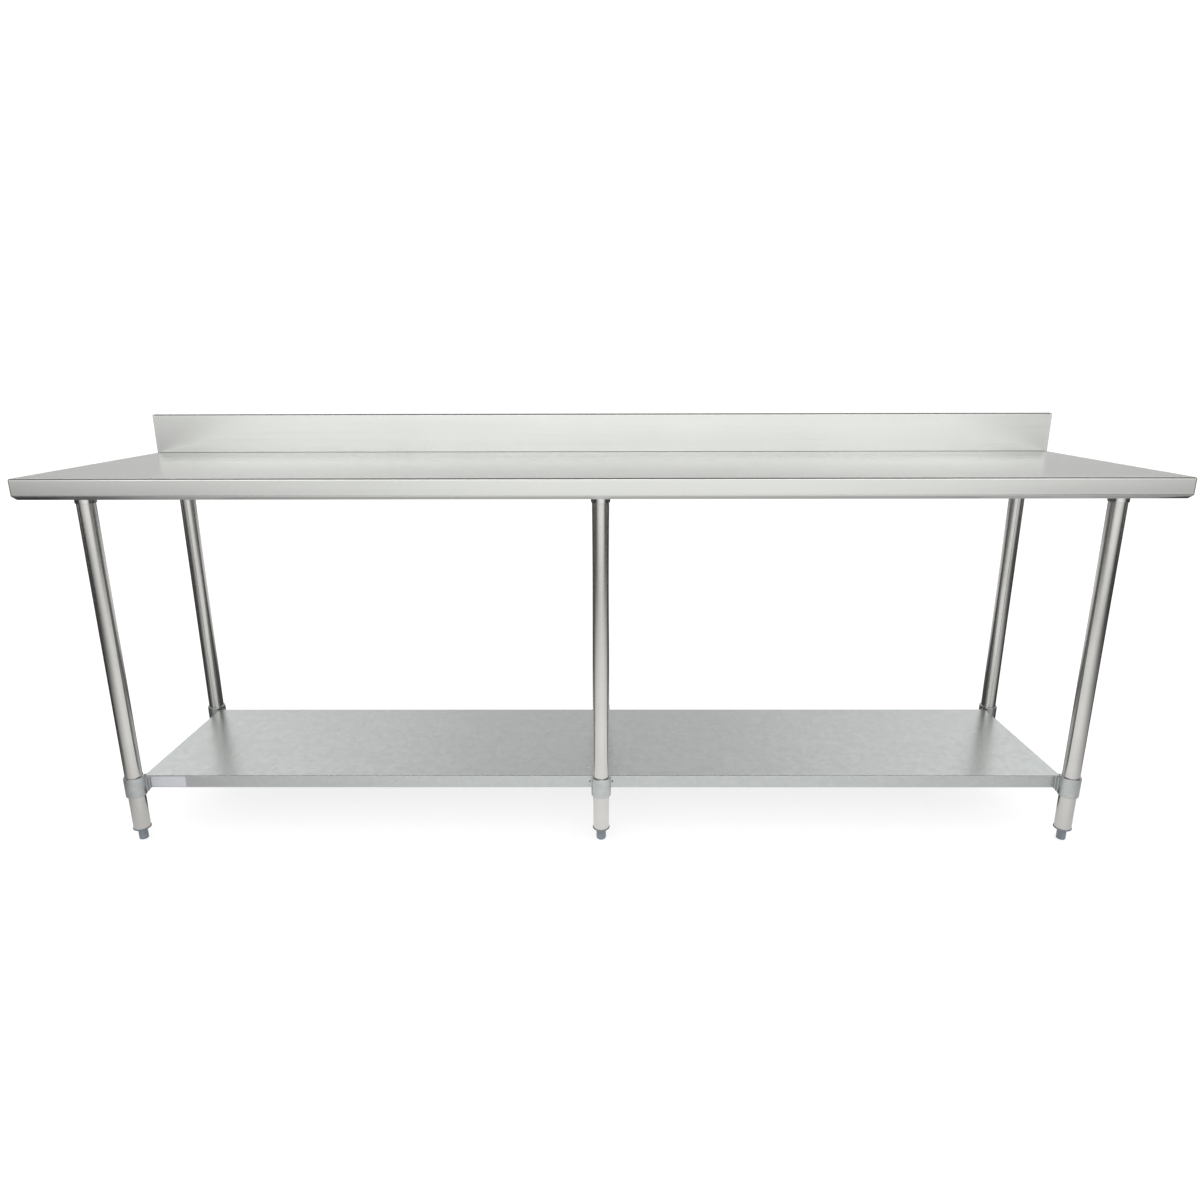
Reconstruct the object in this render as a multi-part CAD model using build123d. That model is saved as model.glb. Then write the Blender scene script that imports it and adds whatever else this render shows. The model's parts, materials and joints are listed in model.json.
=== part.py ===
from build123d import *
import math
import os

# Stainless work table, 96 x 24 x 35 in, with a 4 in backsplash and an undershelf.
# Frame: origin on the floor under the centre of the table, +X along the length,
# -Y towards the person who works at it, +Z up. Millimetres.

# ---- driving dimensions ----
LENGTH = 2438.4
DEPTH = 609.6
WORK_HEIGHT = 889.0
SPLASH_RISE = 101.6
SPLASH_DEPTH = 25.4
SPLASH_REAR_FLANGE = 25.4
SPLASH_COVE = 2.0

SHEET = 1.2
BEND = 2.4
APRON_HEIGHT = 44.6
APRON_RETURN = 8.2

LEG_RADIUS = 19.05
LEG_WALL = 1.2
LEG_X = 1121.5
LEG_Y = 215.0
LEG_BOTTOM = 33.0

CHANNEL_HEIGHT = 20.0
CHANNEL_WEB = 56.0
CHANNEL_FLANGE = 18.0
CHANNEL_SHEET = 1.5

SOCKET_RADIUS = 21.0
SOCKET_BORE = 19.45
SOCKET_RIM = 826.0
SOCKET_FLANGE_RADIUS = 38.0
SOCKET_FLANGE_THICK = 3.0
SOCKET_SCREW_Z = 848.0

FLANGE_RADIUS = 20.6
FLANGE_THICK = 3.0
PLUG_LENGTH = 45.0
STEM_RADIUS = 6.0
STEM_CLEARANCE = 0.3
STEM_LENGTH = 40.0
FOOT_FLATS = 20.5
FOOT_GAP = 0.3
FOOT_CORNER_RADIUS = 11.6
FOOT_TOE_ROUND = 5.0

SHELF_TOP = 160.4
SHELF_INSET = 15.0
SHELF_RIM = 31.75
SHELF_RETURN = 10.0
SHELF_BEND = 1.8
STIFFENER_LENGTH = 2170.0
STIFFENER_HEIGHT = 22.0

BRACKET_RADIUS = 23.0
BRACKET_BORE = 19.35
BRACKET_TOP = 168.0
BRACKET_HEIGHT = 50.0
BRACKET_CHAMFER = 1.2
WING_THICK = 4.0
WING_REACH = 29.0
WING_TOP_DROP = 8.5
WING_TOE = 9.0
RELIEF_WIDTH = 12.0
RELIEF_DEPTH = 26.0
LUG_REACH = 34.0
LUG_BOTTOM = 131.0
LUG_TOP = 157.0
SCREW_Z = 123.0
BOSS_RADIUS = 5.0
NOTCH_CLEARANCE = 0.2

GRUB_RADIUS = 3.0
GRUB_LENGTH = 6.0
HEX_KEY = 3.0
PAN_RADIUS = 4.0
PAN_HEIGHT = 2.2
PAN_SHANK = 2.0
SCREW_HOLE = 2.15
CORNER_SCREW_REACH = 22.5
CORNER_SCREW_BITE = 2.4
MID_SCREW_REACH = 27.0
FIXING_Z = 146.0

LABEL_LENGTH = 84.0
LABEL_HEIGHT = 27.0
LABEL_THICK = 0.3
LABEL_START = 16.0

# ---- worked out from them ----
HALF_LENGTH = LENGTH / 2
FRONT_Y = -DEPTH / 2
BACK_Y = DEPTH / 2
SPLASH_Y = BACK_Y - SPLASH_DEPTH
SPLASH_TOP = WORK_HEIGHT + SPLASH_RISE
UNDERSIDE = WORK_HEIGHT - SHEET
APRON_BOTTOM = WORK_HEIGHT - APRON_HEIGHT
CHANNEL_BOTTOM = UNDERSIDE - CHANNEL_HEIGHT
LEG_TOP = CHANNEL_BOTTOM - SOCKET_FLANGE_THICK
INSERT_BOTTOM = LEG_BOTTOM - FLANGE_THICK
FOOT_TOP = INSERT_BOTTOM - FOOT_GAP
SHELF_HALF_X = LEG_X - SHELF_INSET
SHELF_HALF_Y = LEG_Y - SHELF_INSET
SHELF_BOTTOM = SHELF_TOP - SHELF_RIM
BRACKET_BOTTOM = BRACKET_TOP - BRACKET_HEIGHT

SIDES = {"left": -1, "centre": 0, "right": 1}
ROWS = {"front": -1, "rear": 1}
CORNERS = [(row, side) for row in ROWS for side in ("left", "right")]
PLACES = [(row, side) for row in ROWS for side in SIDES]


def save(shape, node):
    """Write one piece, or one group of equal pieces, to its STEP file."""
    export_step(shape, f"parts/{node}.step")


def block(x0, x1, y0, y1, z0, z1):
    """Box between two corners."""
    centre = ((x0 + x1) / 2, (y0 + y1) / 2, (z0 + z1) / 2)
    return Pos(*centre) * Box(x1 - x0, y1 - y0, z1 - z0)


def rod(radius, z0, z1):
    """Upright cylinder on the Z axis."""
    return Pos(0, 0, z0) * Cylinder(radius, z1 - z0, align=(Align.CENTER, Align.CENTER, Align.MIN))


def folded(points, radii, thickness):
    """Face of a folded sheet: the points are one side's line, the sheet lies to its right."""
    line = FilletPolyline(*points, radius=radii)
    return make_face(offset(line, amount=thickness, side=Side.RIGHT))


def at_leg(shape, row, side):
    """Place a shape that was made on the Z axis at one of the six legs."""
    return Pos(SIDES[side] * LEG_X, ROWS[row] * LEG_Y, 0) * shape


def mirrored(shape, row, side):
    """Copy a shape made for the front left (or front centre) to another corner."""
    if side == "right":
        shape = mirror(shape, about=Plane.YZ)
    if row == "rear":
        shape = mirror(shape, about=Plane.XZ)
    return shape


# ---- work surface ----

def apron_block(inset, rear_y):
    """Block with bent top edges and 45 degree lower edges, shrunk by inset."""
    half = HALF_LENGTH - inset
    solid = block(-half, half, FRONT_Y + inset, rear_y, APRON_BOTTOM, WORK_HEIGHT - inset)
    bottom = solid.edges().group_by(Axis.Z)[0]
    rim = bottom.filter_by(Axis.Y) + bottom.filter_by(Axis.X).sort_by(Axis.Y)[:1]
    solid = chamfer(rim, APRON_RETURN + inset * (math.sqrt(2) - 1))
    top = solid.edges().group_by(Axis.Z)[-1]
    upper = top.filter_by(Axis.Y) + top.filter_by(Axis.X).sort_by(Axis.Y)[:1]
    corners = solid.edges().filter_by(Axis.Z).group_by(Axis.Y)[0]
    return fillet(upper + corners, BEND - inset)


def splash_section():
    """Cove, backsplash, top return and rear flange as one folded strip."""
    points = [
        (SPLASH_Y - 5 * SPLASH_COVE, WORK_HEIGHT),
        (SPLASH_Y, WORK_HEIGHT),
        (SPLASH_Y, SPLASH_TOP),
        (BACK_Y, SPLASH_TOP),
        (BACK_Y, SPLASH_TOP - SPLASH_REAR_FLANGE),
    ]
    return Plane.YZ * folded(points, [SPLASH_COVE, BEND, BEND], SHEET)


def worktop():
    """Top panel, aprons with 45 degree returns, and backsplash, from one sheet."""
    rear = SPLASH_Y + SHEET
    pan = apron_block(0, rear) - apron_block(SHEET, rear + 1)
    splash = extrude(splash_section(), amount=HALF_LENGTH - SHEET, both=True)
    return pan + splash


def splash_end_cap():
    """Left end plate of the backsplash; its foot closes the gap behind the side apron."""
    rear_of_face = SPLASH_Y + SHEET
    foot_z = APRON_BOTTOM + APRON_RETURN
    outline = Polyline(
        (SPLASH_Y, WORK_HEIGHT),
        (SPLASH_Y, SPLASH_TOP),
        (BACK_Y, SPLASH_TOP),
        (BACK_Y, foot_z),
        (rear_of_face, foot_z),
        (rear_of_face, WORK_HEIGHT),
        close=True,
    )
    face = make_face(outline)
    face = fillet(face.vertices().group_by(Axis.Y)[-1], BEND)
    plate = extrude(Plane.YZ * face, amount=SHEET)
    return Pos(-HALF_LENGTH, 0, 0) * plate


def hat_section(web, height, flange, thickness):
    """Hat channel, open side up, its flange tops on the line v = 0."""
    half = web / 2
    deep = height - thickness
    points = [
        (-half - flange, 0),
        (-half, 0),
        (-half, -deep),
        (half, -deep),
        (half, 0),
        (half + flange, 0),
    ]
    return folded(points, 1.2, thickness)


def cross_channel(side):
    """Hat channel from the front apron to the backsplash, above a pair of legs."""
    front = FRONT_Y + 2 * SHEET
    rear = SPLASH_Y - 2 * SHEET
    section = hat_section(CHANNEL_WEB, CHANNEL_HEIGHT, CHANNEL_FLANGE, CHANNEL_SHEET)
    bar = extrude(Plane.XZ * section, amount=(rear - front) / 2, both=True)
    return Pos(SIDES[side] * LEG_X, (front + rear) / 2, UNDERSIDE) * bar


def long_channel(sign):
    """Hat channel between two cross channels, along the middle of the top."""
    clear = CHANNEL_WEB / 2 + CHANNEL_FLANGE + 3 * CHANNEL_SHEET
    section = hat_section(CHANNEL_WEB, CHANNEL_HEIGHT, CHANNEL_FLANGE, CHANNEL_SHEET)
    bar = extrude(Plane.YZ * section, amount=(LEG_X - 2 * clear) / 2, both=True)
    return Pos(sign * LEG_X / 2, (FRONT_Y + SPLASH_Y) / 2, UNDERSIDE) * bar


# ---- sockets, legs and feet ----

def inward_x(row, side):
    """Angle about Z of the direction from a leg to the middle of the table."""
    if side == "centre":
        return -90 * ROWS[row]
    return 0 if side == "left" else 180


def radial_rod(radius, start, end, z, angle):
    """Cylinder that points away from the Z axis at a height and an angle."""
    bar = Cylinder(radius, end - start, align=(Align.CENTER, Align.CENTER, Align.MIN))
    return Rot(0, 0, angle) * Pos(start, 0, z) * Rot(0, 90, 0) * bar


def grub_screw(start, z, angle):
    """Set screw with a hexagon socket; start is the distance of its tip from the axis."""
    body = rod(GRUB_RADIUS, 0, GRUB_LENGTH)
    body = chamfer(body.edges().filter_by(GeomType.CIRCLE), 0.4)
    key = extrude(RegularPolygon(HEX_KEY / 2, 6, major_radius=False), amount=3)
    body -= Pos(0, 0, GRUB_LENGTH - 3) * key
    return Rot(0, 0, angle) * Pos(start, 0, z) * Rot(0, 90, 0) * body


def leg_socket(angle):
    """Round flange welded under the channel, with a collar that takes the leg."""
    collar = rod(SOCKET_RADIUS, SOCKET_RIM, LEG_TOP) - rod(SOCKET_BORE, SOCKET_RIM - 1, LEG_TOP + 1)
    rims = collar.edges().filter_by(GeomType.CIRCLE).group_by(Axis.Z)[0]
    collar = chamfer(rims, 0.5)
    flange = rod(SOCKET_FLANGE_RADIUS, LEG_TOP, CHANNEL_BOTTOM)
    socket = collar + flange
    neck = socket.edges().filter_by(GeomType.CIRCLE).group_by(Axis.Z)[-2]
    socket = fillet(neck.sort_by(SortBy.RADIUS)[-2:-1], 3)
    return socket - radial_rod(GRUB_RADIUS + 0.1, 15, 30, SOCKET_SCREW_Z, angle)


def leg():
    """Round tube from the foot insert to the underside of the socket's flange."""
    return rod(LEG_RADIUS, LEG_BOTTOM, LEG_TOP) - rod(LEG_RADIUS - LEG_WALL, LEG_BOTTOM - 1, LEG_TOP + 1)


def foot_insert():
    """Plug inside the tube end, with a thin flange under the tube and a bore for the stem."""
    plug = rod(LEG_RADIUS - LEG_WALL - 0.05, LEG_BOTTOM, LEG_BOTTOM + PLUG_LENGTH)
    plug = chamfer(plug.edges().group_by(Axis.Z)[-1], 1.5)
    flange = rod(FLANGE_RADIUS, INSERT_BOTTOM, LEG_BOTTOM)
    flange = fillet(flange.edges().group_by(Axis.Z)[0], 1.2)
    bore = rod(STEM_RADIUS + STEM_CLEARANCE, INSERT_BOTTOM - 1, LEG_BOTTOM + PLUG_LENGTH + 1)
    return plug + flange - bore


def foot():
    """Hexagonal bullet foot with a rounded toe, on its stem."""
    body = extrude(RegularPolygon(FOOT_FLATS / 2, 6, major_radius=False), amount=FOOT_TOP)
    toe = rod(FOOT_CORNER_RADIUS, 0, FOOT_TOP)
    toe = fillet(toe.edges().group_by(Axis.Z)[0], FOOT_TOE_ROUND)
    toe = chamfer(toe.edges().group_by(Axis.Z)[-1], 1.0)
    stem = rod(STEM_RADIUS, FOOT_TOP - 1, FOOT_TOP + STEM_LENGTH)
    stem = chamfer(stem.edges().group_by(Axis.Z)[-1], 1.0)
    return (body & toe) + stem


# ---- undershelf ----

def tray_block(inset, z0, z1, bend):
    """Box of the shelf's outline, shrunk by inset, with its bent edges rounded."""
    half_x = SHELF_HALF_X - inset
    half_y = SHELF_HALF_Y - inset
    solid = block(-half_x, half_x, -half_y, half_y, z0, z1)
    if bend == 0:
        return solid
    return fillet(solid.edges().filter_by(Axis.Z) + solid.edges().group_by(Axis.Z)[-1], bend)


def undershelf():
    """Sheet with four edges turned down and back, notched for the two middle legs."""
    inside = tray_block(SHEET, SHELF_BOTTOM + SHEET, SHELF_TOP - SHEET, SHELF_BEND - SHEET)
    opening = tray_block(SHELF_RETURN, SHELF_BOTTOM - 1, SHELF_BOTTOM + 2 * SHEET, 0)
    shelf = tray_block(0, SHELF_BOTTOM, SHELF_TOP, SHELF_BEND) - inside - opening
    notch = rod(BRACKET_RADIUS + NOTCH_CLEARANCE, SHELF_BOTTOM - 1, SHELF_TOP + 1)
    for row in ROWS:
        shelf -= at_leg(notch, row, "centre")
        for sign in (-1, 1):
            shelf -= mirrored(fixing_hole_y(sign * MID_SCREW_REACH), row, "centre")
    for row, side in CORNERS:
        x = -LEG_X + CORNER_SCREW_REACH
        shelf -= mirrored(fixing_hole_y(x), row, side)
        shelf -= mirrored(fixing_hole_x(-LEG_Y + CORNER_SCREW_REACH), row, side)
    return shelf


def fixing_hole_y(x):
    """Hole through the front rim of the shelf at a given x."""
    hole = Rot(90, 0, 0) * Cylinder(SCREW_HOLE, 6 * SHEET)
    return Pos(x, -SHELF_HALF_Y, FIXING_Z) * hole


def fixing_hole_x(y):
    """Hole through the left rim of the shelf at a given y."""
    hole = Rot(0, 90, 0) * Cylinder(SCREW_HOLE, 6 * SHEET)
    return Pos(-SHELF_HALF_X, y, FIXING_Z) * hole


def shelf_stiffener():
    """Hat channel along the underside of the shelf."""
    section = hat_section(CHANNEL_WEB, STIFFENER_HEIGHT, CHANNEL_FLANGE, SHEET)
    bar = extrude(Plane.YZ * section, amount=STIFFENER_LENGTH / 2, both=True)
    return Pos(0, 0, SHELF_TOP - SHEET) * bar


def collar():
    """Clamp ring round a leg, with eased rims."""
    ring = rod(BRACKET_RADIUS, BRACKET_BOTTOM, BRACKET_TOP)
    return chamfer(ring.edges().filter_by(GeomType.CIRCLE), BRACKET_CHAMFER)


def wing():
    """Wing along +X that lies on the shelf's front face; its lower free corner is cut."""
    top = BRACKET_TOP - WING_TOP_DROP
    outline = Polyline(
        (0, BRACKET_BOTTOM + 1),
        (WING_REACH - WING_TOE, BRACKET_BOTTOM + 1),
        (WING_REACH, BRACKET_BOTTOM + 1 + WING_TOE),
        (WING_REACH, top),
        (0, top + WING_TOP_DROP / 2),
        close=True,
    )
    plate = extrude(Plane.XZ * make_face(outline), amount=WING_THICK)
    return Pos(0, SHELF_INSET, 0) * plate


def corner_bracket():
    """Front left clamp: ring, two wings on the shelf's faces, relief towards its corner."""
    side_wing = Rot(0, 0, 90) * mirror(wing(), about=Plane.XZ)
    body = collar() + wing() + side_wing
    shelf_space = block(SHELF_INSET, 60, SHELF_INSET, 60, SHELF_BOTTOM - 0.2, BRACKET_TOP + 1)
    relief_floor = BRACKET_TOP - RELIEF_DEPTH
    relief = Rot(0, 0, 45) * block(0, 60, -RELIEF_WIDTH / 2, RELIEF_WIDTH / 2, relief_floor, BRACKET_TOP + 1)
    body = body - shelf_space - relief
    body += radial_rod(BOSS_RADIUS, 20, 28, SCREW_Z, 45)
    body -= rod(BRACKET_BORE, BRACKET_BOTTOM - 1, BRACKET_TOP + 1)
    body -= radial_rod(GRUB_RADIUS + 0.1, 15, 40, SCREW_Z, 45)
    body = Pos(-LEG_X, -LEG_Y, 0) * body
    bite = Pos(0, -CORNER_SCREW_BITE / 2, 0) * Rot(90, 0, 0) * Cylinder(SCREW_HOLE, CORNER_SCREW_BITE)
    body -= Pos(-LEG_X + CORNER_SCREW_REACH, -SHELF_HALF_Y, FIXING_Z) * bite
    bite = Pos(-CORNER_SCREW_BITE / 2, 0, 0) * Rot(0, 90, 0) * Cylinder(SCREW_HOLE, CORNER_SCREW_BITE)
    return body - Pos(-SHELF_HALF_X, -LEG_Y + CORNER_SCREW_REACH, FIXING_Z) * bite


def mid_bracket():
    """Front centre clamp: ring let into the shelf's notch, with a lug behind the rim."""
    lug_front = SHELF_INSET + SHEET + 0.05
    lug = block(-LUG_REACH, LUG_REACH, lug_front, lug_front + WING_THICK, LUG_BOTTOM, LUG_TOP)
    body = collar() + lug + radial_rod(BOSS_RADIUS, 20, 28, SCREW_Z, 90)
    body -= rod(BRACKET_BORE, BRACKET_BOTTOM - 1, BRACKET_TOP + 1)
    body -= radial_rod(GRUB_RADIUS + 0.1, 15, 40, SCREW_Z, 90)
    for sign in (-1, 1):
        hole = Rot(90, 0, 0) * Cylinder(SCREW_HOLE, 4 * WING_THICK)
        body -= Pos(sign * MID_SCREW_REACH, lug_front, FIXING_Z) * hole
    return Pos(0, -LEG_Y, 0) * body


def fixing_screw(grip):
    """Pan-head screw along -Y, its head seat at y = 0 and its tip at y = -grip."""
    shank = Pos(0, -grip / 2, 0) * Rot(90, 0, 0) * Cylinder(PAN_SHANK, grip)
    head = Pos(0, PAN_HEIGHT / 2, 0) * Rot(90, 0, 0) * Cylinder(PAN_RADIUS, PAN_HEIGHT)
    head = fillet(head.edges().group_by(Axis.Y)[-1], 1.2)
    slot = block(-0.5, 0.5, PAN_HEIGHT - 1.0, PAN_HEIGHT + 1, -PAN_RADIUS, PAN_RADIUS)
    return shank + head - slot


def bracket_screws():
    """Two fixing screws for each bracket, driven from inside the shelf's rim."""
    screws = []
    corner = fixing_screw(SHEET + CORNER_SCREW_BITE - 0.1)
    middle = fixing_screw(SHEET + WING_THICK + 0.05)
    seat = -SHELF_HALF_Y + SHEET
    for row, side in CORNERS:
        along_x = Pos(-LEG_X + CORNER_SCREW_REACH, seat, FIXING_Z) * corner
        side_seat = -SHELF_HALF_X + SHEET
        along_y = Pos(side_seat, -LEG_Y + CORNER_SCREW_REACH, FIXING_Z) * Rot(0, 0, -90) * corner
        screws += [mirrored(along_x, row, side), mirrored(along_y, row, side)]
    for row in ROWS:
        for sign in (-1, 1):
            screw = Pos(sign * MID_SCREW_REACH, seat + WING_THICK + 0.05, FIXING_Z) * middle
            screws.append(mirrored(screw, row, "centre"))
    return Compound(children=screws)


def bracket_set_screws():
    """The six grub screws that clamp the undershelf to the legs."""
    screws = []
    for row, side in CORNERS:
        screw = Pos(-LEG_X, -LEG_Y, 0) * grub_screw(LEG_RADIUS + 0.3, SCREW_Z, 45)
        screws.append(mirrored(screw, row, side))
    for row in ROWS:
        screw = Pos(0, -LEG_Y, 0) * grub_screw(LEG_RADIUS + 0.3, SCREW_Z, 90)
        screws.append(mirrored(screw, row, "centre"))
    return Compound(children=screws)


def shelf_label():
    """Plain blank label on the left of the shelf's front face."""
    start = -SHELF_HALF_X + LABEL_START
    middle = (SHELF_TOP + SHELF_BOTTOM) / 2
    low = middle - LABEL_HEIGHT / 2
    return block(start, start + LABEL_LENGTH, -SHELF_HALF_Y - LABEL_THICK, -SHELF_HALF_Y, low, low + LABEL_HEIGHT)


# ---- write every piece ----

def main():
    os.makedirs("parts", exist_ok=True)
    save(worktop(), "worktop")
    save(splash_end_cap(), "splash_end_cap_left")
    save(mirror(splash_end_cap(), about=Plane.YZ), "splash_end_cap_right")
    save(long_channel(-1), "long_channel_left")
    save(long_channel(1), "long_channel_right")
    for side in SIDES:
        save(cross_channel(side), f"cross_channel_{side}")
    socket_screws = []
    for row, side in PLACES:
        angle = inward_x(row, side)
        save(at_leg(leg_socket(angle), row, side), f"leg_socket_{row}_{side}")
        save(at_leg(leg(), row, side), f"leg_{row}_{side}")
        save(at_leg(foot_insert(), row, side), f"foot_insert_{row}_{side}")
        save(at_leg(foot(), row, side), f"foot_{row}_{side}")
        screw = grub_screw(LEG_RADIUS + 0.05, SOCKET_SCREW_Z, angle)
        socket_screws.append(at_leg(screw, row, side))
    save(Compound(children=socket_screws), "socket_set_screws")
    save(undershelf(), "undershelf")
    save(shelf_stiffener(), "shelf_stiffener")
    for row, side in CORNERS:
        save(mirrored(corner_bracket(), row, side), f"corner_bracket_{row}_{side}")
    for row in ROWS:
        save(mirrored(mid_bracket(), row, "centre"), f"mid_bracket_{row}")
    save(bracket_set_screws(), "bracket_set_screws")
    save(bracket_screws(), "bracket_screws")
    save(shelf_label(), "shelf_label")


main()
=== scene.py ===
import bmesh
import bpy
import json
import math
from mathutils import Matrix, Vector

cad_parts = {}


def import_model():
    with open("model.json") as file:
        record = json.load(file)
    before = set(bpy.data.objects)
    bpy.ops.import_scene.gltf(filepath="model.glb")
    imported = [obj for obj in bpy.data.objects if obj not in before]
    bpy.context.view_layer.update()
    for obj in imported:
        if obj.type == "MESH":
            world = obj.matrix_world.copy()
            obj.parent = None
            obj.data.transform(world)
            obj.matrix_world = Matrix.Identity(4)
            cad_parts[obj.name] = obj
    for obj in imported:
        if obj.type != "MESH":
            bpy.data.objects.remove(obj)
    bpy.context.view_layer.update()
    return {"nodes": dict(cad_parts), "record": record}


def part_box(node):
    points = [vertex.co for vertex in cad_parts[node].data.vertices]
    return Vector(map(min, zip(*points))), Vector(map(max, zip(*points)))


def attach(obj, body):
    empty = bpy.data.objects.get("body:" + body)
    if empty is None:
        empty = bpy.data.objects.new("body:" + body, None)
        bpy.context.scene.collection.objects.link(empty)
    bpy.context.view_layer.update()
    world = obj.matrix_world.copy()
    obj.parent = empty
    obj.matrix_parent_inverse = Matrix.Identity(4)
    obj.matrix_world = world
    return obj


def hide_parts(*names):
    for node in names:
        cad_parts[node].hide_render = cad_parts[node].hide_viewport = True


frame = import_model()

ROWS = ("front", "rear")
SIDES = ("left", "centre", "right")


# ---- small node helpers ----

def new_material(name):
    """A material with an empty node tree but for its output, and a Principled shader."""
    mat = bpy.data.materials.new(name)
    mat.use_nodes = True
    tree = mat.node_tree
    tree.nodes.clear()
    out = tree.nodes.new("ShaderNodeOutputMaterial")
    shader = tree.nodes.new("ShaderNodeBsdfPrincipled")
    tree.links.new(shader.outputs["BSDF"], out.inputs["Surface"])
    return mat, tree, shader


def stretched(tree, scale):
    """Object coordinates scaled along each axis, so that a noise becomes streaks."""
    coords = tree.nodes.new("ShaderNodeTexCoord")
    mapping = tree.nodes.new("ShaderNodeMapping")
    mapping.inputs["Scale"].default_value = scale
    tree.links.new(coords.outputs["Object"], mapping.inputs["Vector"])
    return mapping.outputs["Vector"]


def noise(tree, vector, detail=3.0, roughness=0.5):
    """Noise between zero and one."""
    made = tree.nodes.new("ShaderNodeTexNoise")
    made.inputs["Scale"].default_value = 1.0
    made.inputs["Detail"].default_value = detail
    made.inputs["Roughness"].default_value = roughness
    tree.links.new(vector, made.inputs["Vector"])
    return made.outputs["Fac"]


def spread(tree, value, low, high, from_low=0.3, from_high=0.7):
    """Value mapped from one range to another, and held at its ends."""
    made = tree.nodes.new("ShaderNodeMapRange")
    made.inputs["From Min"].default_value = from_low
    made.inputs["From Max"].default_value = from_high
    made.inputs["To Min"].default_value = low
    made.inputs["To Max"].default_value = high
    tree.links.new(value, made.inputs["Value"])
    return made.outputs["Result"]


def two_tone(tree, value, dark, light):
    """Colour between two tones."""
    made = tree.nodes.new("ShaderNodeMix")
    made.data_type = "RGBA"
    made.inputs["A"].default_value = (*dark, 1)
    made.inputs["B"].default_value = (*light, 1)
    tree.links.new(value, made.inputs["Factor"])
    return made.outputs["Result"]


def bumped(tree, height, strength, distance, below=None):
    """Normal tilted by a height, on top of another normal if there is one."""
    made = tree.nodes.new("ShaderNodeBump")
    made.inputs["Strength"].default_value = strength
    made.inputs["Distance"].default_value = distance
    tree.links.new(height, made.inputs["Height"])
    if below is not None:
        tree.links.new(below, made.inputs["Normal"])
    return made.outputs["Normal"]


def axis_vector(tree, axis):
    """Fixed direction."""
    made = tree.nodes.new("ShaderNodeCombineXYZ")
    for name, value in zip("XYZ", axis):
        made.inputs[name].default_value = value
    return made.outputs["Vector"]


def grain_across(tree, grain):
    """Direction in the surface at right angles to the grain, which is where brushed metal blurs."""
    geometry = tree.nodes.new("ShaderNodeNewGeometry")
    cross = tree.nodes.new("ShaderNodeVectorMath")
    cross.operation = "CROSS_PRODUCT"
    tree.links.new(geometry.outputs["Normal"], cross.inputs[0])
    tree.links.new(axis_vector(tree, grain), cross.inputs[1])
    return cross.outputs["Vector"]


def computed(tree, operation, first, second=None):
    """Result of a Math node, from sockets or numbers."""
    made = tree.nodes.new("ShaderNodeMath")
    made.operation = operation
    for place, value in enumerate((first, second)):
        if isinstance(value, (int, float)):
            made.inputs[place].default_value = value
        elif value is not None:
            tree.links.new(value, made.inputs[place])
    return made.outputs["Value"]


def end_mask(tree):
    """One on faces that look along X, where the grain of a folded sheet runs downwards."""
    geometry = tree.nodes.new("ShaderNodeNewGeometry")
    split = tree.nodes.new("ShaderNodeSeparateXYZ")
    tree.links.new(geometry.outputs["Normal"], split.inputs["Vector"])
    return spread(tree, computed(tree, "ABSOLUTE", split.outputs["X"]), 0, 1, 0.6, 0.8)


def choose(tree, factor, first, second):
    """Number that goes from the first value to the second."""
    made = tree.nodes.new("ShaderNodeMix")
    tree.links.new(factor, made.inputs["Factor"])
    tree.links.new(first, made.inputs["A"])
    tree.links.new(second, made.inputs["B"])
    return made.outputs["Result"]


# ---- materials ----

SHEET_GRAIN = (1, 0, 0.02)
UPRIGHT = (0, 0, 1)
LINES_ALONG = (6, 1600, 1600)
LINES_DOWN = (1600, 1600, 6)
WAVE_STRENGTH = 0.25
WAVE_HEIGHT = 0.0015
STEEL_TONES = ((0.595, 0.603, 0.580), (0.630, 0.639, 0.615))
TUBE_TONES = ((0.590, 0.580, 0.555), (0.630, 0.620, 0.596))
COLLAR_TONES = ((0.60, 0.60, 0.59), (0.70, 0.70, 0.69))
ZINC_TONES = ((0.455, 0.475, 0.466), (0.510, 0.530, 0.521))
CAST_TONES = ((0.40, 0.42, 0.415), (0.54, 0.56, 0.55))
SCREW_TONES = ((0.50, 0.51, 0.53), (0.60, 0.61, 0.62))
FOIL_TONES = ((0.50, 0.51, 0.55), (0.56, 0.57, 0.61))
PLASTIC_TONES = ((0.130, 0.155, 0.175), (0.170, 0.195, 0.215))


def new_metal(name, anisotropic, tangent):
    """Bare metal; tangent makes the direction in which it blurs what it mirrors."""
    mat, tree, shader = new_material(name)
    shader.inputs["Metallic"].default_value = 1.0
    shader.inputs["Anisotropic"].default_value = anisotropic
    tree.links.new(tangent(tree), shader.inputs["Tangent"])
    return mat, tree, shader


def across_grain(tree):
    """Blur of a brushed or rolled sheet."""
    return grain_across(tree, SHEET_GRAIN)


def up_and_down(tree):
    """Blur of a tube that is ground round and round."""
    return axis_vector(tree, UPRIGHT)


def finish_material(tree, shader, colour, roughness, normal):
    """Link the three things that every material here has."""
    tree.links.new(colour, shader.inputs["Base Color"])
    tree.links.new(roughness, shader.inputs["Roughness"])
    tree.links.new(normal, shader.inputs["Normal"])


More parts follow.
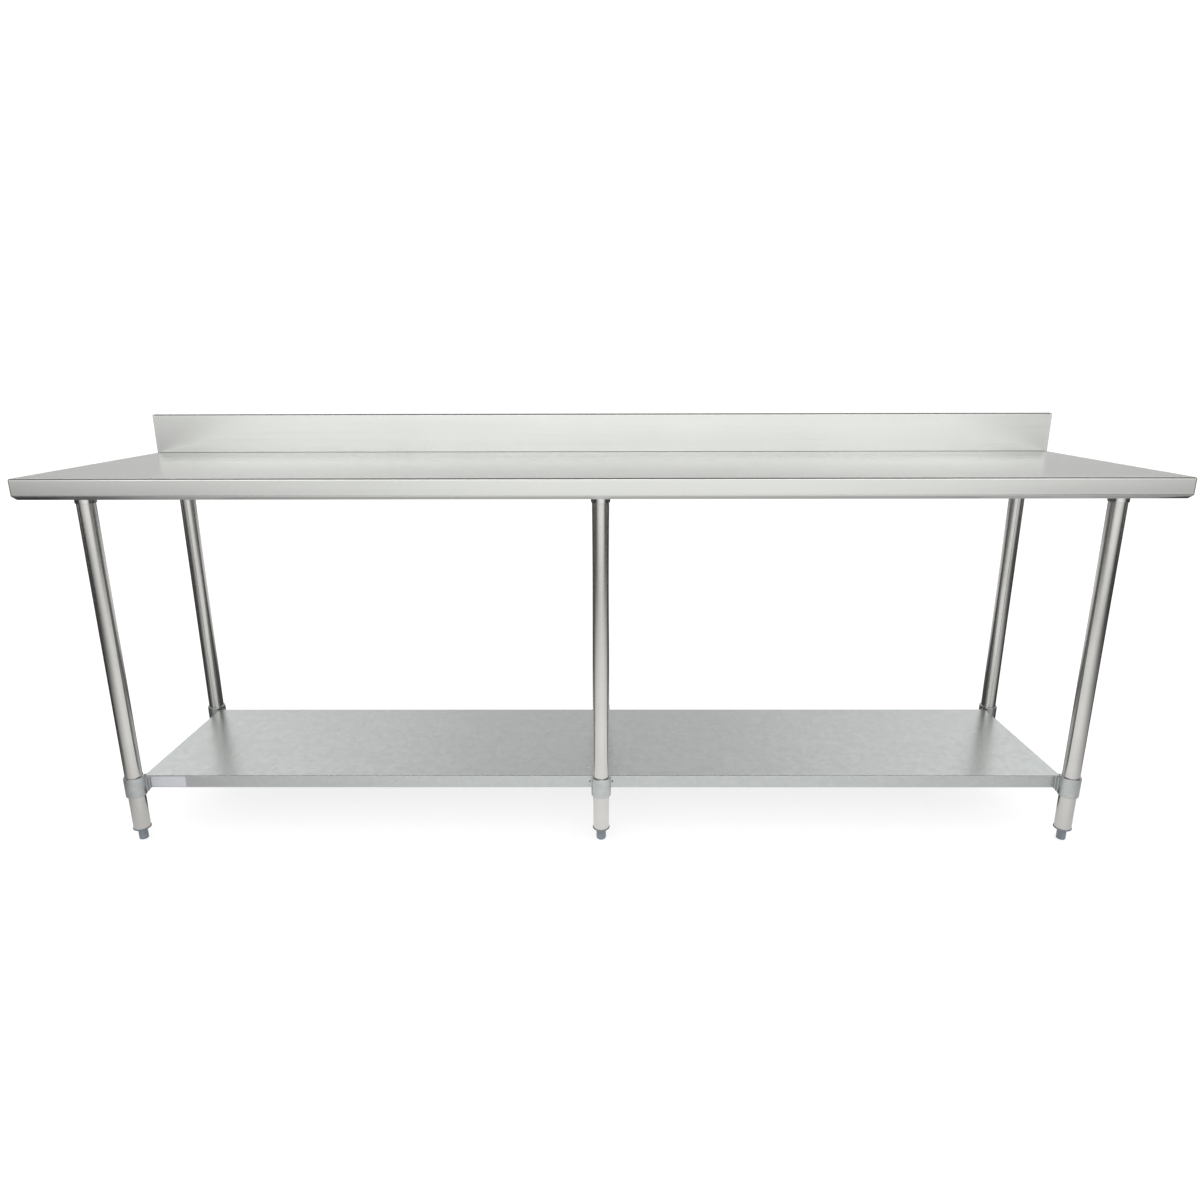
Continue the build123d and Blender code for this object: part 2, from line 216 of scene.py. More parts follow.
def brushed_sheet():
    """Stainless sheet with a fine grain along X that turns down over the ends."""
    mat, tree, shader = new_metal("brushed_stainless", 0.75, across_grain)
    along = noise(tree, stretched(tree, LINES_ALONG))
    down = noise(tree, stretched(tree, LINES_DOWN))
    lines = choose(tree, end_mask(tree), along, down)
    bands = noise(tree, stretched(tree, (1.2, 60, 60)))
    clouds = noise(tree, stretched(tree, (2.5, 2.5, 2.5)), detail=2)
    tone = choose(tree, spread(tree, lines, 0.25, 0.75), bands, clouds)
    colour = two_tone(tree, spread(tree, tone, 0, 1, 0.35, 0.65), *STEEL_TONES)
    waves = bumped(tree, clouds, WAVE_STRENGTH, WAVE_HEIGHT)
    normal = bumped(tree, lines, 0.1, 0.000005, waves)
    finish_material(tree, shader, colour, spread(tree, lines, 0.20, 0.26), normal)
    return mat


def polished_tube():
    """Tube ground round and round, so that its reflections run together up and down."""
    mat, tree, shader = new_metal("stainless_tube", 0.9, up_and_down)
    lines = noise(tree, stretched(tree, (15, 15, 1800)))
    bands = noise(tree, stretched(tree, (4, 4, 12)))
    colour = two_tone(tree, spread(tree, bands, 0, 1), *TUBE_TONES)
    normal = bumped(tree, lines, 0.1, 0.000002)
    finish_material(tree, shader, colour, spread(tree, lines, 0.165, 0.185), normal)
    return mat


def turned_collar():
    """Polished socket: brighter than the tube, with turning marks."""
    mat, tree, shader = new_metal("polished_stainless", 0.3, up_and_down)
    lines = noise(tree, stretched(tree, (20, 20, 2500)))
    colour = two_tone(tree, spread(tree, lines, 0, 1), *COLLAR_TONES)
    normal = bumped(tree, lines, 0.2, 0.000004)
    finish_material(tree, shader, colour, spread(tree, lines, 0.10, 0.15), normal)
    return mat


def galvanised():
    """Zinc coated sheet: a soft sheen with faint crystal patches."""
    mat, tree, shader = new_metal("galvanised_sheet", 0.6, across_grain)
    cells = tree.nodes.new("ShaderNodeTexVoronoi")
    cells.inputs["Scale"].default_value = 90
    tree.links.new(stretched(tree, (1, 1, 1)), cells.inputs["Vector"])
    flakes = tree.nodes.new("ShaderNodeRGBToBW")
    tree.links.new(cells.outputs["Color"], flakes.inputs["Color"])
    fine = noise(tree, stretched(tree, (700, 700, 700)), detail=2)
    rolled = noise(tree, stretched(tree, (2, 150, 150)))
    tone = choose(tree, spread(tree, fine, 0.4, 0.6), flakes.outputs["Val"], rolled)
    colour = two_tone(tree, spread(tree, tone, 0, 1, 0.1, 0.9), *ZINC_TONES)
    roughness = spread(tree, flakes.outputs["Val"], 0.27, 0.34, 0, 1)
    clouds = noise(tree, stretched(tree, (4, 4, 4)), detail=2)
    waves = bumped(tree, clouds, WAVE_STRENGTH, WAVE_HEIGHT)
    finish_material(tree, shader, colour, roughness, bumped(tree, fine, 0.2, 0.00004, waves))
    return mat


def grained_metal(name, tones, rough, scale, depth, metallic=1.0):
    """Metal with an even grain: cast aluminium, plated screws, the label's foil."""
    mat, tree, shader = new_material(name)
    shader.inputs["Metallic"].default_value = metallic
    grain = noise(tree, stretched(tree, (scale, scale, scale)), detail=4, roughness=0.6)
    patches = noise(tree, stretched(tree, (60, 60, 60)))
    tone = choose(tree, spread(tree, patches, 0.3, 0.7), grain, patches)
    colour = two_tone(tree, spread(tree, tone, 0, 1), *tones)
    finish_material(tree, shader, colour, spread(tree, grain, *rough), bumped(tree, grain, 0.6, depth))
    return mat


def moulded_plastic():
    """Grey plastic with a fine moulded grain."""
    mat, tree, shader = new_material("grey_plastic")
    grain = noise(tree, stretched(tree, (1500, 1500, 1500)))
    patches = noise(tree, stretched(tree, (90, 90, 90)), detail=2)
    colour = two_tone(tree, spread(tree, patches, 0, 1), *PLASTIC_TONES)
    normal = bumped(tree, grain, 0.4, 0.00003)
    finish_material(tree, shader, colour, spread(tree, grain, 0.38, 0.52), normal)
    return mat


by_slot = {
    "brushed_stainless": brushed_sheet(),
    "stainless_tube": polished_tube(),
    "polished_stainless": turned_collar(),
    "galvanised_sheet": galvanised(),
    "cast_aluminium": grained_metal("cast_aluminium", CAST_TONES, (0.30, 0.42), 900, 0.00012),
    "grey_plastic": moulded_plastic(),
    "zinc_screw": grained_metal("zinc_screw", SCREW_TONES, (0.28, 0.4), 1500, 0.00002),
    "label_foil": grained_metal("label_foil", FOIL_TONES, (0.3, 0.38), 500, 0.00001, 0.4),
}
# every CAD piece shows its slot's material, whether or not a mesh replaces it later
for part in frame["record"]["subparts"]:
    piece = frame["nodes"][part["node"]]
    for place in piece.material_slots:
        place.link = "OBJECT"
        place.material = by_slot[part["material_slot"]]


# ---- sizes that the frame doesn't give, in metres, and counts ----

# worktop and backsplash
SPLASH_RISE = 0.1016
SPLASH_DEPTH = 0.0254
REAR_FLANGE = 0.0254
SHEET = 0.0012
BEND = 0.0045
COVE = 0.002
APRON_RETURN = 0.0082
CAP_GAP = 0.0005
CAP_CORNER = 0.0004
CAP_EDGE = 0.0005
GRID_STEP = 0.1

# undershelf and its label
SHELF_BEND = 0.0018
SHELF_RETURN = 0.010
NOTCH_RADIUS = 0.0232
NOTCH_OVERRUN = 0.01
NOTCH_SEGMENTS = 90
LABEL_CORNER = 0.0025
LABEL_EDGE = 0.0001

# tubes and the plugs in their ends
ROUND_SEGMENTS = 96
TUBE_WALL = 0.0012
TUBE_EDGE = 0.0004
PLUG_CLEARANCE = 0.0001
PLUG_STEP = 0.0003
PLUG_CORNER = 0.0009
FLANGE_SLOPE = 0.0004
RIB_START = 0.002
RIB_DEPTH = 0.0008
RIB_COUNT = 12

# feet; the flats are measured across the hexagon
FOOT_FLATS = 0.0205
TOE_RADIUS = 0.005
NECK_RADIUS = 0.0012
FLANK_STEP = 0.003
STEM_RADIUS = 0.006
STEM_LENGTH = 0.040
STEM_CLEARANCE = 0.0003
STEM_CHAMFER = 0.001
THREAD_START = 0.0005
THREAD_PITCH = 0.00175
THREAD_DEPTH = 0.0009
THREAD_STEPS = 8
THREAD_STEEPNESS = 1.15

# clamp castings
CAST_VOXEL = 0.0007
CAST_GRAIN = 0.004
CAST_UNEVEN = 0.00022

# hat channels and their welds
CHANNEL_WEB = 0.056
CHANNEL_FLANGE = 0.018
CHANNEL_SHEET = 0.0015
BEAD_OFFSET = 0.0006
BEAD_LIFT = 0.0003
BEAD_RADIUS = 0.0018
BEAD_SIDES = 10
BEAD_RIPPLE = 0.003
BEAD_TIP = 0.0004
BEAD_TAPER = 0.002
SPOT_RADIUS = 0.003
SPOT_MARGIN = 0.03
SPOT_SIDES = 20

WELD_DISTANCE = 0.000001


# ---- mesh helpers ----

def make_piece(name, verts, faces, outward=True):
    """Mesh object from points and faces; points that coincide are joined, bare edges deleted."""
    mesh = bpy.data.meshes.new(name)
    mesh.from_pydata([tuple(v) for v in verts], [], faces)
    work = bmesh.new()
    work.from_mesh(mesh)
    bmesh.ops.remove_doubles(work, verts=work.verts, dist=WELD_DISTANCE)
    bare = [edge for edge in work.edges if not edge.link_faces]
    bmesh.ops.delete(work, geom=bare, context="EDGES")
    if outward:
        bmesh.ops.recalc_face_normals(work, faces=work.faces)
    work.to_mesh(mesh)
    work.free()
    obj = bpy.data.objects.new(name, mesh)
    bpy.context.collection.objects.link(obj)
    return obj


def add_grid(verts, faces, rows, flipped=False, closed=False, looped=False):
    """Quads between rows of points; closed joins each row's end to its start, looped the rows."""
    base = len(verts)
    wide = len(rows[0])
    for row in rows:
        verts.extend(row)
    for r in range(len(rows) - (0 if looped else 1)):
        below = (r + 1) % len(rows)
        for c in range(wide if closed else wide - 1):
            beside = (c + 1) % wide
            quad = (r * wide + c, r * wide + beside, below * wide + beside, below * wide + c)
            quad = tuple(base + i for i in quad)
            faces.append(quad[::-1] if flipped else quad)


def apply_modifiers(obj):
    """The evaluated mesh takes the place of the mesh and its modifiers."""
    graph = bpy.context.evaluated_depsgraph_get()
    mesh = bpy.data.meshes.new_from_object(obj.evaluated_get(graph))
    obj.modifiers.clear()
    obj.data = mesh


def dress(obj, slot, body, *nodes, sharp=35, flat_faces=True):
    """Smooth shading with true creases, the slot's material, and the CAD nodes it stands for."""
    obj.data.shade_smooth()
    obj.data.set_sharp_from_angle(angle=math.radians(sharp))
    if flat_faces:
        shade = obj.modifiers.new("shade", "WEIGHTED_NORMAL")
        shade.keep_sharp = True
        shade.weight = 100
    obj.data.materials.clear()
    obj.data.materials.append(by_slot[slot])
    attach(obj, body)
    if nodes:
        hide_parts(*nodes)


def arc(centre, radius, start, end, steps=6):
    """Points of an arc in a plane, angles in degrees."""
    angles = [math.radians(start + (end - start) * k / steps) for k in range(steps + 1)]
    return [(centre[0] + radius * math.cos(a), centre[1] + radius * math.sin(a)) for a in angles]


def rounded(points, radius, steps=4):
    """Closed outline with every corner turned into an arc."""
    outline = []
    for i, point in enumerate(points):
        corner = Vector(point)
        back = (Vector(points[i - 1]) - corner).normalized()
        on = (Vector(points[(i + 1) % len(points)]) - corner).normalized()
        half = back.angle(on) / 2
        centre = corner + (back + on).normalized() * radius / math.sin(half)
        arm = corner + back * radius / math.tan(half) - centre
        turn = (math.pi - 2 * half) * (-1 if back.cross(on) > 0 else 1)
        for k in range(steps + 1):
            spin = Matrix.Rotation(turn * k / steps, 2)
            outline.append(tuple(centre + spin @ arm))
    return outline


def evenly(start, end, step=GRID_STEP):
    """Equal steps from start to end, each close to step."""
    count = max(1, round(abs(end - start) / step))
    return [start + (end - start) * k / count for k in range(count + 1)]


def revolve(name, outline, centre, segments=64, shape=None):
    """Closed outline of (radius, height) turned round an upright axis; shape may change a radius."""
    verts, faces, rows = [], [], []
    for s in range(segments):
        angle = 2 * math.pi * s / segments
        row = []
        for radius, height in outline:
            r = shape(radius, height, angle) if shape else radius
            row.append((centre[0] + r * math.cos(angle), centre[1] + r * math.sin(angle), height))
        rows.append(row)
    add_grid(verts, faces, rows, closed=True, looped=True)
    return make_piece(name, verts, faces)


def middle(node):
    """Centre of a CAD node's box."""
    low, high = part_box(node)
    return (low + high) / 2


# ---- folded sheet ----

def turned_edge(places, profile):
    """Rows of points of a bent rim: a place has a spot, an outward and an inward direction."""
    rows = []
    for reach, height in profile:
        row = []
        for spot, outward, inward in places:
            shifted = spot + outward * reach if reach >= 0 else spot - inward * reach
            row.append((shifted.x, shifted.y, height))
        rows.append(row)
    return rows


def corner_places(spot, first, second, steps=6):
    """One spot, its outward direction turning from one side's to the next side's."""
    inward = -(Vector(first) + Vector(second))
    for k in range(steps + 1):
        turn = math.pi / 2 * k / steps
        yield Vector(spot), Vector(first) * math.cos(turn) + Vector(second) * math.sin(turn), inward


def side_places(spots, outward):
    """Spots along one straight side."""
    for spot in spots:
        yield Vector(spot), Vector(outward), -Vector(outward)


def solidified(obj, thickness):
    """Thickness grown inwards from the outer skin."""
    sheet = obj.modifiers.new("thickness", "SOLIDIFY")
    sheet.thickness = thickness
    sheet.offset = -1
    sheet.use_even_offset = True
    apply_modifiers(obj)


def worktop_sheet():
    """Top, aprons with their 45 degree returns, and backsplash, folded from one sheet."""
    low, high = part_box("worktop")
    top = high.z - SPLASH_RISE
    half = high.x - BEND
    front = low.y + BEND
    splash = high.y - SPLASH_DEPTH
    xs = evenly(-half, half)
    ys = evenly(front, splash - COVE)
    slope = low.z + APRON_RETURN + (math.sqrt(2) - 1) * BEND
    profile = arc((0, top - BEND), BEND, 90, 0) + arc((0, slope), BEND, 0, -45, 3)
    profile.append((BEND - APRON_RETURN, low.z))
    sides = ys[1:] + [splash + SHEET]
    places = [
        *side_places([(-half, y) for y in reversed(sides)], (-1, 0)),
        *corner_places((-half, front), (-1, 0), (0, -1)),
        *side_places([(x, front) for x in xs[1:-1]], (0, -1)),
        *corner_places((half, front), (0, -1), (1, 0)),
        *side_places([(half, y) for y in sides], (1, 0)),
    ]
    section = [(y, top) for y in ys[:-1]]
    section += arc((splash - COVE, top + COVE), COVE, -90, 0)
    section += [(splash, z) for z in evenly(top + COVE, high.z - BEND, 0.03)[1:-1]]
    section += arc((splash + BEND, high.z - BEND), BEND, 180, 90)
    section += arc((high.y - BEND, high.z - BEND), BEND, 90, 0)
    section.append((high.y, high.z - REAR_FLANGE))
    verts, faces = [], []
    add_grid(verts, faces, turned_edge(places, profile), flipped=True)
    add_grid(verts, faces, [[(x, y, z) for x in xs] for y, z in section])
    obj = make_piece("worktop_sheet", verts, faces, outward=False)
    solidified(obj, SHEET)
    dress(obj, "brushed_stainless", "root", "worktop", sharp=40)


def splash_end(side, sign):
    """Welded end plate of the backsplash, its edges ground round."""
    low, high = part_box(f"splash_end_cap_{side}")
    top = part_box("worktop")[1].z - SPLASH_RISE
    step_y = low.y + SHEET
    corners = [(low.y, top), (low.y, high.z), (high.y, high.z)]
    corners += [(high.y, low.z), (step_y, low.z), (step_y, top - CAP_GAP)]
    outline = rounded(corners, CAP_CORNER, 2)
    outer = sign * high.x if sign > 0 else low.x
    inner = outer - sign * BEND
    name = f"splash_end_{side}"
    obj = bevelled_plate(name, outline, lambda u, v, w: (w, u, v), inner, outer, CAP_EDGE)
    dress(obj, "brushed_stainless", "root", f"splash_end_cap_{side}")


def bevelled_plate(name, outline, place, start, end, edge):
    """Flat plate with an outline, between two levels, its edges eased."""
    count = len(outline)
    verts = [place(u, v, w) for w in (start, end) for u, v in outline]
    faces = [tuple(range(count)), tuple(range(2 * count - 1, count - 1, -1))]
    for i in range(count):
        j = (i + 1) % count
        faces.append((i, j, count + j, count + i))
    obj = make_piece(name, verts, faces)
    bevel = obj.modifiers.new("edges", "BEVEL")
    bevel.width = edge
    bevel.segments = 2
    bevel.limit_method = "ANGLE"
    bevel.angle_limit = math.radians(50)
    apply_modifiers(obj)
    return obj


def shelf_sheet():
    """Undershelf: four rims turned down and back, notched round the two middle legs."""
    low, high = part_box("undershelf")
    half_x = high.x - SHELF_BEND
    half_y = high.y - SHELF_BEND
    xs = evenly(-half_x, half_x)
    ys = evenly(-half_y, half_y)
    profile = arc((0, high.z - SHELF_BEND), SHELF_BEND, 90, 0)
    profile += arc((0, low.z + SHELF_BEND), SHELF_BEND, 0, -90)
    profile.append((SHELF_BEND - SHELF_RETURN, low.z))
    places = [
        *side_places([(-half_x, y) for y in reversed(ys[1:-1])], (-1, 0)),
        *corner_places((-half_x, -half_y), (-1, 0), (0, -1)),
        *side_places([(x, -half_y) for x in xs[1:-1]], (0, -1)),
        *corner_places((half_x, -half_y), (0, -1), (1, 0)),
        *side_places([(half_x, y) for y in ys[1:-1]], (1, 0)),
        *corner_places((half_x, half_y), (1, 0), (0, 1)),
        *side_places([(x, half_y) for x in reversed(xs[1:-1])], (0, 1)),
        *corner_places((-half_x, half_y), (0, 1), (-1, 0)),
    ]
    verts, faces = [], []
    add_grid(verts, faces, turned_edge(places, profile), flipped=True, closed=True)
    add_grid(verts, faces, [[(x, y, high.z) for x in xs] for y in ys])
    obj = make_piece("shelf_sheet", verts, faces, outward=False)
    solidified(obj, SHEET)
    under = low.z - NOTCH_OVERRUN
    over = high.z + NOTCH_OVERRUN
    drum = [(0, under), (NOTCH_RADIUS, under), (NOTCH_RADIUS, over), (0, over)]
    for row in ROWS:
        tool = revolve("notch", drum, middle(f"leg_{row}_centre"), NOTCH_SEGMENTS)
        cut = obj.modifiers.new("notch", "BOOLEAN")
        cut.object = tool
        cut.solver = "EXACT"
        apply_modifiers(obj)
        bpy.data.objects.remove(tool)
    dress(obj, "galvanised_sheet", "undershelf", "undershelf", sharp=40)


# ---- legs and feet ----

def leg_tube(row, side):
    """Round tube with its ends eased."""
    node = f"leg_{row}_{side}"
    low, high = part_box(node)
    outer = (high.x - low.x) / 2
    inner = outer - TUBE_WALL
    wall = [(outer, low.z), (outer, high.z), (inner, high.z), (inner, low.z)]
    obj = revolve(f"tube_{row}_{side}", rounded(wall, TUBE_EDGE, 3), middle(node), ROUND_SEGMENTS)
    dress(obj, "stainless_tube", "root", node)


def foot_insert(row, side):
    """Ribbed plug inside the tube, with a rounded flange under it."""
    node = f"foot_insert_{row}_{side}"
    low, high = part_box(node)
    flange = (high.x - low.x) / 2
    leg_low, leg_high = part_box(f"leg_{row}_{side}")
    plug = (leg_high.x - leg_low.x) / 2 - TUBE_WALL - PLUG_CLEARANCE
    bore = STEM_RADIUS + STEM_CLEARANCE
    corners = [(bore, low.z), (flange - FLANGE_SLOPE, low.z), (flange, leg_low.z)]
    corners += [(plug, leg_low.z + PLUG_STEP), (plug, high.z), (bore, high.z)]
    outline = rounded(corners, PLUG_CORNER)

    def ribs(radius, height, angle):
        if height < leg_low.z + RIB_START or radius < plug - RIB_START:
            return radius
        return radius - RIB_DEPTH * (math.cos(angle * RIB_COUNT) < 0)

    obj = revolve(f"insert_{row}_{side}", outline, middle(node), ROUND_SEGMENTS, ribs)
    dress(obj, "grey_plastic", "root", node)


def levelling_foot(row, side):
    """Hexagonal foot with a round toe, on a threaded stem."""
    node = f"foot_{row}_{side}"
    low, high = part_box(node)
    shoulder = high.z - STEM_LENGTH
    corner = (high.x - low.x) / 2
    toe = arc((corner - TOE_RADIUS, low.z + TOE_RADIUS), TOE_RADIUS, -90, 0, 8)
    neck = arc((corner - NECK_RADIUS, shoulder - NECK_RADIUS), NECK_RADIUS, 0, 90, 4)
    sides = [(corner, z) for z in evenly(toe[-1][1], neck[0][1], FLANK_STEP)[1:-1]]
    turns = evenly(shoulder + THREAD_START, high.z - STEM_CHAMFER, THREAD_PITCH / THREAD_STEPS)
    stem = [(STEM_RADIUS, z) for z in turns]
    tip = [(STEM_RADIUS - STEM_CHAMFER, high.z), (0, high.z)]
    outline = [(0, low.z)] + toe + sides + neck + stem + tip

    def form(radius, height, angle):
        if height <= shoulder:
            sixth = (angle % (math.pi / 3)) - math.pi / 6
            return min(radius, FOOT_FLATS / 2 / math.cos(sixth))
        if radius < STEM_RADIUS:
            return radius
        phase = (height / THREAD_PITCH - angle / (2 * math.pi)) % 1
        return radius - THREAD_DEPTH * min(1, abs(2 * phase - 1) * THREAD_STEEPNESS)

    obj = revolve(f"bullet_foot_{row}_{side}", outline, middle(node), ROUND_SEGMENTS, form)
    dress(obj, "grey_plastic", f"foot_{row}_{side}", node, sharp=25)


# ---- castings ----

def casting(node, body):
    """Sand-cast copy of a clamp: edges eased all round and a slightly uneven skin."""
    source = frame["nodes"][node]
    obj = bpy.data.objects.new(f"cast_{node}", source.data.copy())
    bpy.context.collection.objects.link(obj)
    remesh = obj.modifiers.new("skin", "REMESH")
    remesh.mode = "VOXEL"
    remesh.voxel_size = CAST_VOXEL
    smooth = obj.modifiers.new("ease", "SMOOTH")
    smooth.factor = 0.5
    smooth.iterations = 4
    grain = bpy.data.textures.get("cast_grain") or bpy.data.textures.new("cast_grain", "CLOUDS")
    grain.noise_scale = CAST_GRAIN
    uneven = obj.modifiers.new("uneven", "DISPLACE")
    uneven.texture = grain
    uneven.texture_coords = "LOCAL"
    uneven.strength = CAST_UNEVEN
    uneven.mid_level = 0.5
    apply_modifiers(obj)
    dress(obj, "cast_aluminium", body, node, sharp=80, flat_faces=False)


# ---- welds and label ----

def bead(verts, faces, start, end):
    """Weld bead: a thin rod whose ripples die away at its ends."""
    start, end = Vector(start), Vector(end)
    along = (end - start).normalized()
    side = along.cross((0, 0, 1)).normalized()
    length = (end - start).length
    rows = []
    for t in evenly(0, length, BEAD_RIPPLE / 6):
        taper = min(1, (min(t, length - t) + BEAD_TIP) / BEAD_TAPER) ** 0.5
        size = BEAD_RADIUS * taper * (0.9 + 0.1 * math.cos(2 * math.pi * t / BEAD_RIPPLE))
        spot = start + along * t
        ring = []
        for k in range(BEAD_SIDES):
            angle = 2 * math.pi * k / BEAD_SIDES
            rise = Vector((0, 0, size * math.sin(angle)))
            ring.append(spot + side * size * math.cos(angle) + rise)
        rows.append(ring)
    base = len(verts)
    add_grid(verts, faces, rows, closed=True)
    faces.append(tuple(range(base, base + BEAD_SIDES)))
    faces.append(tuple(range(len(verts) - 1, len(verts) - BEAD_SIDES - 1, -1)))


def socket_welds():
    """Beads where each socket's flange is welded along both edges of its channel."""
    verts, faces = [], []
    for row in ROWS:
        for side in SIDES:
            low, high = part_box(f"leg_socket_{row}_{side}")
            spot = (low + high) / 2
            reach = math.sqrt(((high.x - low.x) / 2) ** 2 - (CHANNEL_WEB / 2) ** 2) - 0.001
            for sign in (-1, 1):
                x = spot.x + sign * (CHANNEL_WEB / 2 + BEAD_OFFSET)
                z = high.z + BEAD_LIFT
                bead(verts, faces, (x, spot.y - reach, z), (x, spot.y + reach, z))
    obj = make_piece("socket_welds", verts, faces)
    dress(obj, "brushed_stainless", "root", sharp=60)


def spot_weld(verts, faces, x, y, z):
    """Shallow ring and dimple of a resistance weld, seen from below."""
    rings = [(SPOT_RADIUS, 0.0001), (SPOT_RADIUS * 0.85, -0.00025)]
    rings += [(SPOT_RADIUS * 0.6, -0.0003), (0.0008, -0.00005)]
    rows = []
    for radius, drop in rings:
        row = []
        for k in range(SPOT_SIDES):
            angle = 2 * math.pi * k / SPOT_SIDES
            row.append((x + radius * math.cos(angle), y + radius * math.sin(angle), z + drop))
        rows.append(row)
    base = len(verts)
    add_grid(verts, faces, rows, closed=True)
    faces.append(tuple(range(len(verts) - SPOT_SIDES, len(verts))))
    faces.append(tuple(range(base + SPOT_SIDES - 1, base - 1, -1)))


def spot_welds(name, channels, sheet, body):
    """Rows of spot welds along both flanges of hat channels."""
    verts, faces = [], []
    for node in channels:
        low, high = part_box(node)
        level = high.z - sheet
        long_x = high.x - low.x > high.y - low.y
        for sign in (-1, 1):
            aside = sign * (CHANNEL_WEB / 2 + CHANNEL_FLANGE * 0.6)
            if long_x:
                y = (low.y + high.y) / 2 + aside
                for x in evenly(low.x + SPOT_MARGIN, high.x - SPOT_MARGIN):
                    spot_weld(verts, faces, x, y, level)
            else:
                x = (low.x + high.x) / 2 + aside
                for y in evenly(low.y + SPOT_MARGIN, high.y - SPOT_MARGIN):
                    spot_weld(verts, faces, x, y, level)
    obj = make_piece(name, verts, faces)
    dress(obj, "galvanised_sheet", body, sharp=60)


def blank_label():
    """Blank foil label with rounded corners and eased edges."""
    low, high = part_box("shelf_label")
    corners = [(low.x, low.z), (high.x, low.z), (high.x, high.z), (low.x, high.z)]
    outline = rounded(corners, LABEL_CORNER, 6)
    obj = bevelled_plate("blank_label", outline, lambda u, v, w: (u, w, v), high.y, low.y, LABEL_EDGE)
    dress(obj, "label_foil", "undershelf", "shelf_label")


worktop_sheet()
splash_end("left", -1)
splash_end("right", 1)
shelf_sheet()
for row in ROWS:
    for side in SIDES:
        leg_tube(row, side)
        foot_insert(row, side)
        levelling_foot(row, side)
    casting(f"mid_bracket_{row}", "undershelf")
    for side in ("left", "right"):
        casting(f"corner_bracket_{row}_{side}", "undershelf")
socket_welds()
spot_welds("top_spot_welds", [n for n in frame["nodes"] if "channel" in n], CHANNEL_SHEET, "root")
spot_welds("shelf_spot_welds", ["shelf_stiffener"], SHEET, "undershelf")
blank_label()


# ---- studio ----

CAMERA_PLACE = (0.0068, -1.958, 1.093)
CAMERA_LENS = 24.17
CAMERA_TURN = 0.28
CAMERA_DROP = 15.642
CAMERA_ROLL = -0.123
FLOOR_GREY = 0.35
FLOOR_GLOW = 0.75


def camera():
    """Camera fitted to the photograph's edges, angles in degrees."""
    data = bpy.data.cameras.new("camera")
    data.lens = CAMERA_LENS
    data.sensor_width = 36
    cam = bpy.data.objects.new("camera", data)
    turn = Matrix.Rotation(math.radians(CAMERA_TURN), 4, "Z")
    tilt = Matrix.Rotation(math.radians(90 - CAMERA_DROP), 4, "X")
    roll = Matrix.Rotation(math.radians(CAMERA_ROLL), 4, "Z")
    cam.matrix_world = Matrix.Translation(CAMERA_PLACE) @ turn @ tilt @ roll
    bpy.context.collection.objects.link(cam)
    bpy.context.scene.camera = cam


def flat_square(name, corners):
    """One face with four corners."""
    mesh = bpy.data.meshes.new(name)
    mesh.from_pydata(corners, [], [(0, 1, 2, 3)])
    obj = bpy.data.objects.new(name, mesh)
    bpy.context.collection.objects.link(obj)
    return obj


def level_square(name, xs, ys, height):
    """Rectangle that lies flat."""
    left, right = xs
    near, far = ys
    corners = [(left, near, height), (right, near, height), (right, far, height), (left, far, height)]
    return flat_square(name, corners)


def upright_square(name, reach, y, zs):
    """Rectangle that stands across the table's front."""
    low, high = zs
    return flat_square(name, [(-reach, y, low), (reach, y, low), (reach, y, high), (-reach, y, high)])


def floor():
    """Pale matt floor; the light of its own keeps the shadow under the table faint."""
    obj = level_square("floor", (-60, 60), (-60, 60), 0)
    mat, tree, shader = new_material("floor_pale")
    shader.inputs["Base Color"].default_value = (FLOOR_GREY, FLOOR_GREY, FLOOR_GREY, 1)
    shader.inputs["Roughness"].default_value = 0.9
    shader.inputs["Specular IOR Level"].default_value = 0.1
    shader.inputs["Emission Color"].default_value = (1, 1, 1, 1)
    shader.inputs["Emission Strength"].default_value = FLOOR_GLOW
    obj.data.materials.append(mat)


def reflector(obj, centre, reach, stops):
    """Glowing card that only reflections see, painting light and shade into them: bright at its
    centre, dim at its reach and beyond.
    """
    mat, tree, shader = new_material(obj.name)
    coords = tree.nodes.new("ShaderNodeTexCoord")
    mapping = tree.nodes.new("ShaderNodeMapping")
    mapping.vector_type = "TEXTURE"
    mapping.inputs["Location"].default_value = centre
    mapping.inputs["Scale"].default_value = reach
    tree.links.new(coords.outputs["Object"], mapping.inputs["Vector"])
    length = tree.nodes.new("ShaderNodeVectorMath")
    length.operation = "LENGTH"
    tree.links.new(mapping.outputs["Vector"], length.inputs[0])
    ramp = colour_ramp(tree, stops)
    tree.links.new(length.outputs["Value"], ramp.inputs["Fac"])
    glow = tree.nodes.new("ShaderNodeEmission")
    tree.links.new(ramp.outputs["Color"], glow.inputs["Color"])
    out = next(n for n in tree.nodes if n.type == "OUTPUT_MATERIAL")
    tree.links.new(glow.outputs["Emission"], out.inputs["Surface"])
    tree.nodes.remove(shader)
    obj.data.materials.append(mat)
    obj.visible_camera = False
    obj.visible_diffuse = False
    obj.visible_shadow = False
    obj.visible_transmission = False


def colour_ramp(tree, stops):
    """Grey ramp through (place, value) stops."""
    ramp = tree.nodes.new("ShaderNodeValToRGB")
    ramp.color_ramp.interpolation = "EASE"
    elements = ramp.color_ramp.elements
    for place, value in stops[1:-1]:
        elements.new(place)
    for element, (place, value) in zip(elements, stops):
        element.position = place
        element.color = (value, value, value, 1)
    return ramp


